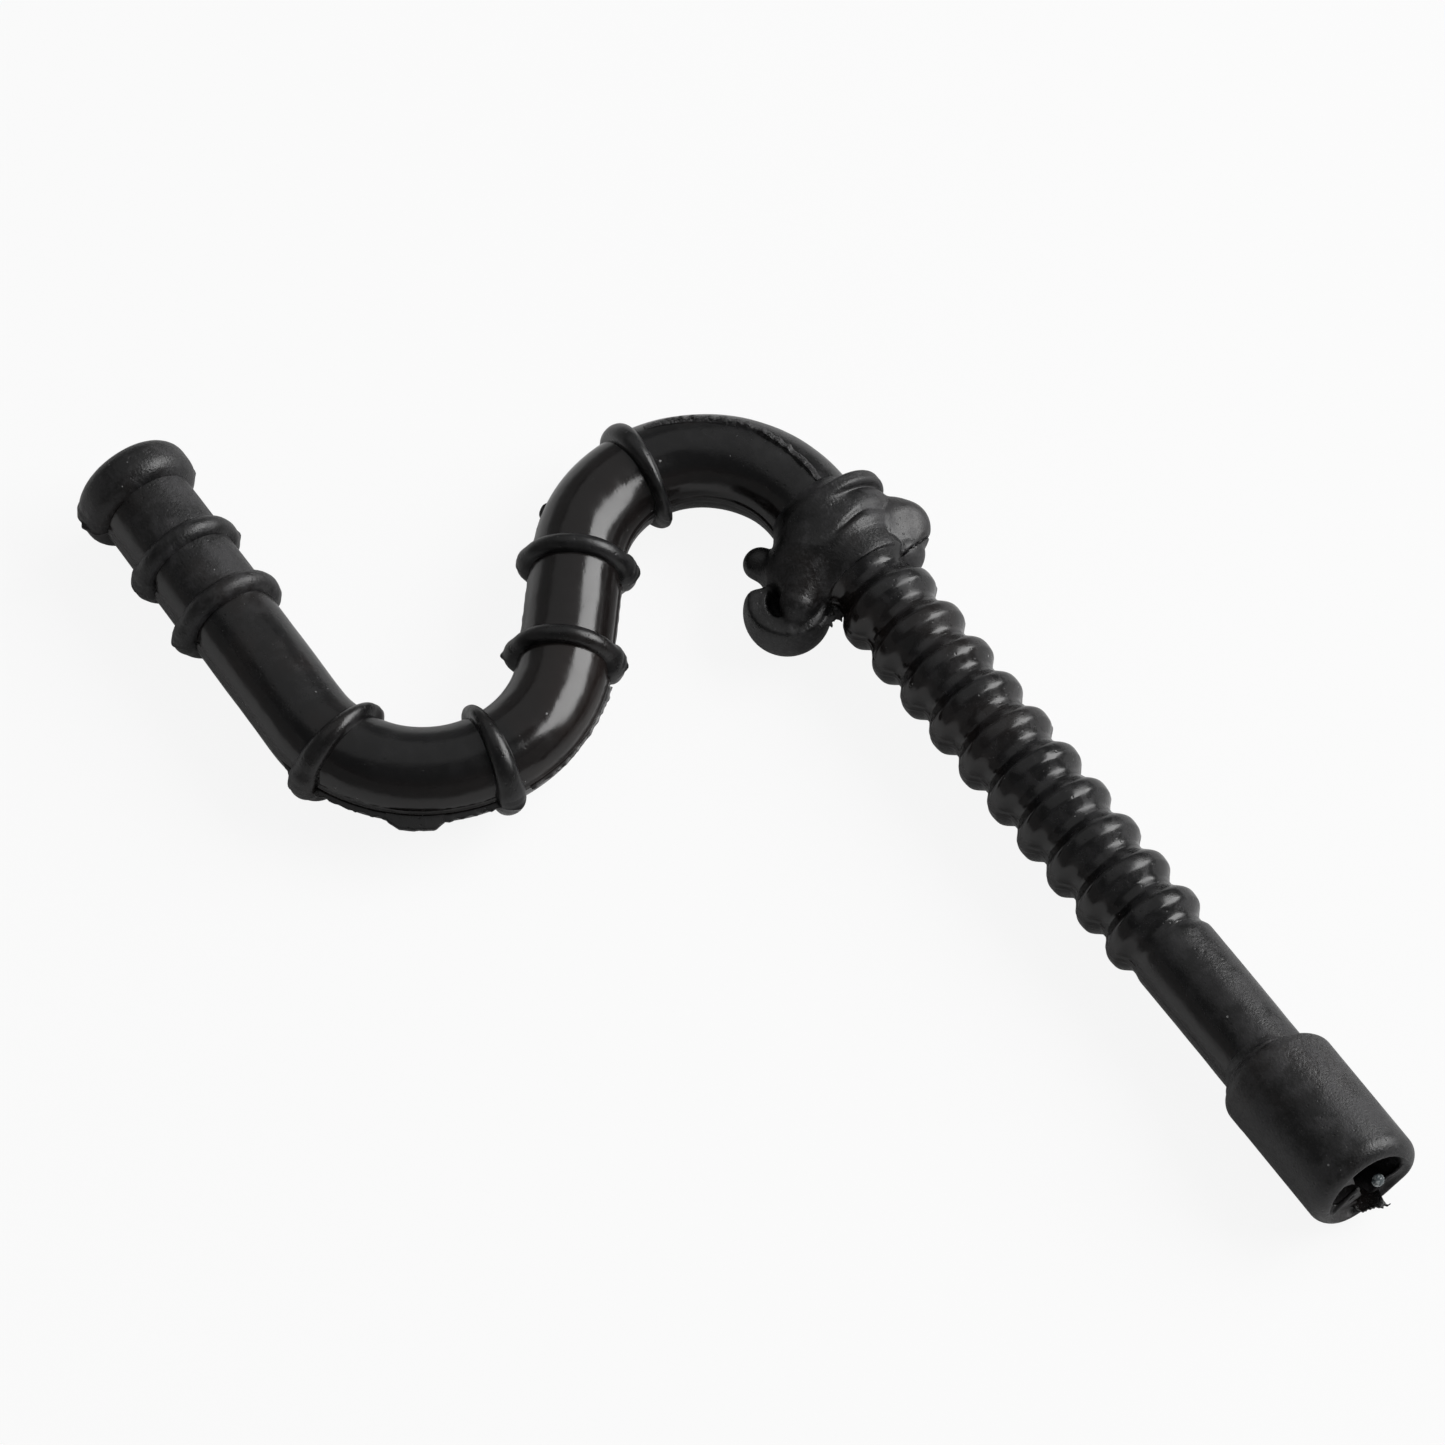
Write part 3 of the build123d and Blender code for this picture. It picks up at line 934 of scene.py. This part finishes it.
class HOSE_OT_flash(bpy.types.Operator):
    """Build the torn strips and crumbs of rubber that the mould left standing"""
    bl_idname = "hose.flash"
    bl_label = "Mould Flash"

    def execute(self, context):
        hose = Hose(context.scene)
        route = hose.route
        size = hose.shape.flash_height / MM
        collar, leg, bend = (
            radius_of(node) for node in ("mouth_collar", "mouth_leg_tube", "lower_bend_tube"))
        # Strip, its width, its raggedness, and its line: station, side, height.
        strips = [
            ("bend_flash_1", 0.5, 0.5, [(36.8, 180, 0.7), (38.2, 180, 2.0), (41.0, 181, 1.7),
                                        (44.5, 180, 1.8), (46.4, 180, 2.4)]),
            ("bend_tab", 0.9, 0.10, [(46.0, 180, 2.0), (47.0, 181, 4.6), (49.6, 181, 4.6),
                                     (50.3, 180, 2.4)]),
            ("bend_flash_2", 0.6, 0.5, [(50.2, 180, 2.4), (53.0, 180, 1.8), (55.2, 179, 2.2)]),
            ("bend_flash_3", 0.5, 0.5, [(57.2, 180, 1.4), (60.0, 180, 1.2), (63.5, 180, 1.0),
                                        (67.8, 180, 1.3)]),
            ("arch_flash", 1.3, 0.9, [(96.0, 56, 0.4), (99.0, 59, 1.0), (102.0, 62, 1.1),
                                      (105.5, 66, 1.2), (108.0, 73, 1.1), (111.0, 77, 1.3),
                                      (114.0, 78, 1.0)]),
            ("crossover_crumb", 0.5, 0.9, [(85.4, 0, 0.6), (86.0, 0, 2.2), (86.7, 0, 0.6)]),
            ("collar_nib", 0.9, 0.5, [(1.9, 180, 0.4), (2.8, 180, 1.4), (3.7, 180, 0.3)]),
        ]
        # Radius of the skin that a strip stands on: (up to this station, radius).
        radii = [(5.0, collar), (40.0, leg), (1000.0, bend)]
        # The crumbs on the left of the bellows: ring, distance past its ridge, height.
        crumbs = [(1, 2.3, 1.2), (4, 2.2, 1.2), (6, 2.3, 1.4), (7, 2.3, 1.2), (8, 2.5, 1.4)]
        for number, (name, width, ragged, line) in enumerate(strips):
            path = [(place, side, next(r for last, r in radii if place < last), height * size)
                    for place, side, height in line]
            # The arch flash gets extra bloom, which makes it paler: flaky bloom, and painted
            # highlight for its lit top.
            bloom_and_painted_light = 1.0 if name == "arch_flash" else 0.0
            piece = torn_strip(name, route, path, width, number, ragged, bloom_and_painted_light)
            dress(piece, "rubber_skin", HOSE_BODY)
        for ring, past, height in crumbs:
            place = route.on_leg(middle(f"bellows_ring_{ring:02d}")[0] + past)
            path = [(place + along, 0, hose.floor, tall)
                    for along, tall in ((-0.5, 0.2), (0, height * size), (0.5, 0.2))]
            piece = torn_strip(f"ring_crumb_{ring:02d}", route, path, 0.7, ring, 0.9, step=0.1)
            dress(piece, "rubber_bellows", f"ring_{ring:02d}")
        return {"FINISHED"}


class HOSE_OT_grommet(bpy.types.Operator):
    """Build the tank grommet: its two flanges, its ear and its two cups"""
    bl_idname = "hose.grommet"
    bl_label = "Grommet"

    def execute(self, context):
        hose = Hose(context.scene)

        # Less bloom on the right, the side away from the lamp, so that it stays dark: painted
        # shade.
        def bloom_and_painted_light_at(points):
            return -0.5 * eased(points[:, 1], [(-4.5, 1), (1.5, 0)])

        piece = net_surface("grommet_skin", lambda at: grommet_field(at, hose.bore),
                            (-5.0, -13.4, -7.0), (9.2, 10.2, 7.4), cell=0.2,
                            bloom_and_painted_light_at=bloom_and_painted_light_at)
        dress(piece, "rubber_bloomed", HOSE_BODY, "grommet_outer_flange", "grommet_barrel",
              "grommet_inner_flange")
        return {"FINISHED"}


class HOSE_OT_bellows(bpy.types.Operator):
    """Build the bellows, one piece for each ring. Each piece runs on under the next in the
    groove, on a ball round the fold's axis, so that no groove opens when it bends"""
    bl_idname = "hose.bellows"
    bl_label = "Bellows"

    def execute(self, context):
        hose = Hose(context.scene)
        route, pitch, floor = hose.route, hose.pitch, hose.floor
        nodes = ["bellows_fixed_ring", *(f"bellows_{ring}" for ring in RINGS)]
        # A ring's side view: (distance past its ridge, drop as a share of the groove).
        ring_side = [(-pitch / 2, 1.0), (-2.2, 0.95), (-1.85, 0.80), (-1.4, 0.50),
                     (-1.05, 0.24), (-0.7, 0.06), (-0.35, 0.0), (0.0, 0.0), (0.35, 0.03),
                     (0.6, 0.07), (0.74, 0.13), (0.9, 0.25), (1.3, 0.58), (1.6, 0.81),
                     (1.76, 0.91), (1.92, 0.96), (2.1, 0.985), (pitch / 2, 1.0)]
        # How far each piece runs on past its fold, and how far below the next it lies.
        lap, lap_sink = 0.65, 0.02
        # The rows of a piece, from its ridge to its fold, as shares of the pitch.
        half = np.array([0, 0.02, 0.05, 0.08, 0.11, 0.14, 0.17, 0.2, 0.23, 0.26, 0.29, 0.31,
                         0.33, 0.345, 0.36, 0.375, 0.39, 0.41, 0.43, 0.46, 0.5])
        steps = pitch * np.concatenate([-half[::-1], half[1:]])
        steps = np.concatenate([steps, steps[-1] + lap * np.array([0.15, 0.4, 0.7, 1])])
        for number, (node, body) in enumerate(zip(nodes, [HOSE_BODY, *RINGS])):
            centre = hose.first_ring + (number - 1) * pitch

            def radius_at(place, side):
                past_ridge = place - route.origin - centre
                beyond = np.maximum(np.abs(past_ridge) - pitch / 2, 0)
                wave = hose.ridge - (hose.ridge - floor) * curve(past_ridge, ring_side)
                ball_shape = np.sqrt(floor ** 2 - beyond ** 2)
                radius = np.where(beyond > 0, ball_shape - lap_sink, wave) + BELLOWS_LIFT
                return hose.fine_skin(place, side, radius - BELLOWS_SHIFT * np.cos(side))

            name = node.replace("bellows_", "bellows_skin_")
            piece = tube_skin(name, route, route.on_leg(centre + steps), radius_at,
                              hose.bore, lap)
            dress(piece, "rubber_bellows", body, node)
        return {"FINISHED"}


class HOSE_OT_tail(bpy.types.Operator):
    """Build the tail tube between the bellows and the pickup cuff"""
    bl_idname = "hose.tail"
    bl_label = "Tail Tube"

    def execute(self, context):
        hose = Hose(context.scene)
        route = hose.route
        last_fold = hose.first_ring + (len(RINGS) - 0.5) * hose.pitch
        cuff = corners("pickup_cuff")[0][0]

        def radius_at(place, side):
            past = eased(place - route.origin - last_fold, [(0, 0), (1.1, 1)])
            groove = hose.floor + BELLOWS_LIFT - BELLOWS_SHIFT * np.cos(side)
            return hose.fine_skin(place, side, groove * (1 - past) + hose.tail * past)

        stations = spread(route.on_leg(last_fold), route.on_leg(cuff + 1), 0.3)
        piece = tube_skin("tail_skin", route, stations, radius_at, hose.bore)
        dress(piece, "rubber_bloomed", TAIL_BODY, "tail_tube")
        return {"FINISHED"}


class HOSE_OT_cuff(bpy.types.Operator):
    """Build the pickup cuff, the torn skin in its mouth, the flap and the clear drop"""
    bl_idname = "hose.cuff"
    bl_label = "Pickup Cuff"

    def execute(self, context):
        hose = Hose(context.scene)
        low, high = corners("pickup_cuff")
        begin, end, radius = low[0], high[0], high[2]

        def bloom_and_painted_light_at(points):
            x, side = points[:, 0] - begin, np.degrees(np.arctan2(points[:, 2], points[:, 1]))
            out = np.hypot(points[:, 1], points[:, 2])
            # The patch by the shoulder is pale bloom; the band along sides 20 to 95, the side
            # towards the lamp, is painted light.
            patch = np.exp(-((x - 3.4) / 2.6) ** 2 - ((side - 62) / 26) ** 2)
            painted_light_band = 0.2 * eased(side, [(20, 0), (45, 1), (75, 1), (95, 0)])
            return np.where(out > radius - 1.2, patch * 0.8 + painted_light_band, 0.0)

        piece = net_surface(
            "pickup_cuff_skin", lambda at: cuff_field(at, hose, begin, end, radius),
            (begin - 2.4, -6.6, -6.6), (end + 0.5, 6.8, 6.7), cell=0.17, bloom_and_painted_light_at=bloom_and_painted_light_at)
        dress(piece, "rubber_bloomed", TAIL_BODY, "pickup_cuff")
        # The flap gets no bloom at all, so that it stays as black as the shade it lies in:
        # painted shade.
        piece = net_surface("mouth_flap", lambda at: flap_field(at, end),
                            (end - 2.4, -1.9, -4.6), (end + 1.2, 2.4, -3.0), cell=0.1,
                            bloom_and_painted_light_at=lambda points: np.full(len(points), -1.0), polish=0.75)
        dress(piece, "rubber_bloomed", TAIL_BODY)
        self.make_drop(place=(end - 0.8, 1.35, -0.4), size=0.68)
        return {"FINISHED"}

    @staticmethod
    def make_drop(place, size):
        """A clear drop that clings to the torn skin, fuller below than above."""
        rings, spins = np.radians(np.linspace(2, 178, 22)), np.linspace(0, 2 * pi, 36, False)
        tilt, turn = np.meshgrid(rings, spins, indexing="ij")
        swell = 1 + 0.10 * np.cos(tilt - 2.2) * np.cos(turn)
        points = np.stack([np.sin(tilt) * np.cos(turn) * 0.85,
                           np.sin(tilt) * np.sin(turn), np.cos(tilt)], -1)
        points = points * (size * swell)[..., None] + np.array(place)
        faces = capped_faces(len(rings), len(spins))
        piece = new_mesh("mouth_drop", points, [face[::-1] for face in faces])
        paint = Paint("clear_drop")
        # The pale blotches on the clear drop are painted highlight, standing in for its
        # glints.
        cloud = paint.step(paint.noise(paint.rest_place(), 0.6), 0.45, 0.65)
        colour = paint.mix(cloud, (0.16, 0.19, 0.20), (0.75, 0.80, 0.80))
        piece.data.materials.append(paint.principled(
            Base_Color=colour, Roughness=0.08, IOR=1.4, Transmission_Weight=0.35))
        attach(piece, TAIL_BODY)


class HOSE_OT_stage(bpy.types.Operator):
    """Set up the floor and backdrop, the room light, the camera and the lamps"""
    bl_idname = "hose.stage"
    bl_label = "Studio"

    def execute(self, context):
        studio = context.scene.studio_setup
        self.make_backdrop()
        self.make_world(studio.world_level)
        # The middle of the view, which the camera and the lamps look at.
        target = Vector((0.01164, -0.02168, 0))
        self.make_camera(studio, target)
        # Each lamp: its name, its direction from the hose, how wide and how high it
        # looks from there in degrees, and its brightness, where 1 is white paper.
        lamps = [
            ("key_softbox", (0.25, 0.76, 0.60), (50, 38), 6.5),
            ("top_panel", (-0.42, 0.12, 0.90), (70, 60), 0.30),
        ]
        for lamp in lamps:
            self.make_lamp(target, *lamp)
        context.scene.view_settings.view_transform = "Standard"
        return {"FINISHED"}

    @staticmethod
    def make_backdrop():
        """A round floor that curves up into a wall far from the hose."""
        gap, wall, corner_radius, wall_top = 0.02, 3500, 600, 2200
        floor_height = corners("mouth_collar")[0][2] - gap
        spins = np.linspace(0, 2 * pi, 96, endpoint=False)
        bend = np.radians(np.linspace(0, 90, 13))
        flat = [0.5, 60, 150, 400, 1000, 2000]
        reach = flat + [wall + corner_radius * sin(b) for b in bend] + [wall + corner_radius]
        rise = [0] * len(flat) + [corner_radius * (1 - cos(b)) for b in bend] + [wall_top]
        rows = [[(r * cos(t), r * sin(t), floor_height + h) for t in spins]
                for r, h in zip(reach, rise)]
        faces = capped_faces(len(rows), len(spins), far_cap=False)
        floor = new_mesh("studio_floor", np.array(rows), [f[::-1] for f in faces])
        paint = Paint("studio_floor")
        paper = paint.add("ShaderNodeBsdfDiffuse", None, {"Color": (0.70, 0.70, 0.70, 1)})
        glow = paint.add("ShaderNodeEmission", None, {"Color": (1, 1, 1, 1), "Strength": 1.0})
        camera, glossy, through = (
            paint.add("ShaderNodeLightPath", output=f"Is {kind} Ray")
            for kind in ("Camera", "Glossy", "Transmission"))
        # How much of the floor's own white each kind of ray sees.
        share = (camera * 0.9 + glossy * 0.1 + through * 0.1).clamped()
        both = paint.add("ShaderNodeMixShader", None, {0: share, 1: paper, 2: glow})
        floor.data.materials.append(paint.finish(both))

    @staticmethod
    def make_world(level):
        world = bpy.data.worlds.new("studio")
        world.use_nodes = True
        light = world.node_tree.nodes["Background"].inputs
        light["Color"].default_value = (1, 1, 1, 1)
        light["Strength"].default_value = level
        bpy.context.scene.world = world

    @staticmethod
    def aim(name, data, target, away, distance):
        """A camera or a lamp that looks at the target from that direction."""
        viewer = bpy.data.objects.new(name, data)
        viewer.location = target + away * distance
        viewer.rotation_euler = (-away).to_track_quat("-Z", "Y").to_euler()
        bpy.context.scene.collection.objects.link(viewer)
        return viewer

    def make_camera(self, studio, target):
        e, a = studio.elevation, studio.azimuth
        away = Vector((sin(a) * cos(e), -cos(a) * cos(e), sin(e)))
        data = bpy.data.cameras.new("camera")
        data.lens = studio.lens
        data.sensor_width = 36
        data.clip_end = 20
        bpy.context.scene.camera = self.aim("camera", data, target, away, studio.distance)

    def make_lamp(self, target, name, direction, angles, brightness):
        """A soft box that looks that large and that bright from the hose."""
        away, distance = Vector(direction).normalized(), 1.1
        data = bpy.data.lights.new(name, "AREA")
        data.shape = "RECTANGLE"
        data.size, data.size_y = (2 * distance * tan(radians(a) / 2) for a in angles)
        data.energy = brightness * pi * data.size * data.size_y
        self.aim(name, data, target, away, distance)


class HOSE_PT_panel(bpy.types.Panel):
    """Lists the steps that build the hose"""
    bl_label = "Moulded Hose"
    bl_idname = "HOSE_PT_panel"
    bl_space_type = "VIEW_3D"
    bl_region_type = "UI"
    bl_category = "Hose"

    def draw(self, context):
        for group in (context.scene.hose_shape, context.scene.rubber_finish,
                      context.scene.studio_setup):
            box = self.layout.box()
            for name in group.__annotations__:
                box.prop(group, name)
        for step in STEPS:
            self.layout.operator(step.bl_idname)


STEPS = (HOSE_OT_mouth, HOSE_OT_tubes, HOSE_OT_ribs, HOSE_OT_flash, HOSE_OT_grommet,
         HOSE_OT_bellows, HOSE_OT_tail, HOSE_OT_cuff, HOSE_OT_stage)
GROUPS = {"hose_shape": HoseShape, "rubber_finish": RubberFinish, "studio_setup": StudioSetup}


def register():
    for group in GROUPS.values():
        bpy.utils.register_class(group)
    for name, group in GROUPS.items():
        setattr(bpy.types.Scene, name, PointerProperty(type=group))
    for step in STEPS:
        bpy.utils.register_class(step)
    bpy.utils.register_class(HOSE_PT_panel)


def unregister():
    bpy.utils.unregister_class(HOSE_PT_panel)
    for step in reversed(STEPS):
        bpy.utils.unregister_class(step)
    for name, group in GROUPS.items():
        delattr(bpy.types.Scene, name)
        bpy.utils.unregister_class(group)


def main():
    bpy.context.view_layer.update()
    register()
    bpy.ops.hose.mouth()
    bpy.ops.hose.tubes()
    bpy.ops.hose.ribs()
    bpy.ops.hose.flash()
    bpy.ops.hose.grommet()
    bpy.ops.hose.bellows()
    bpy.ops.hose.tail()
    bpy.ops.hose.cuff()
    bpy.ops.hose.stage()


if __name__ == "__main__":
    main()
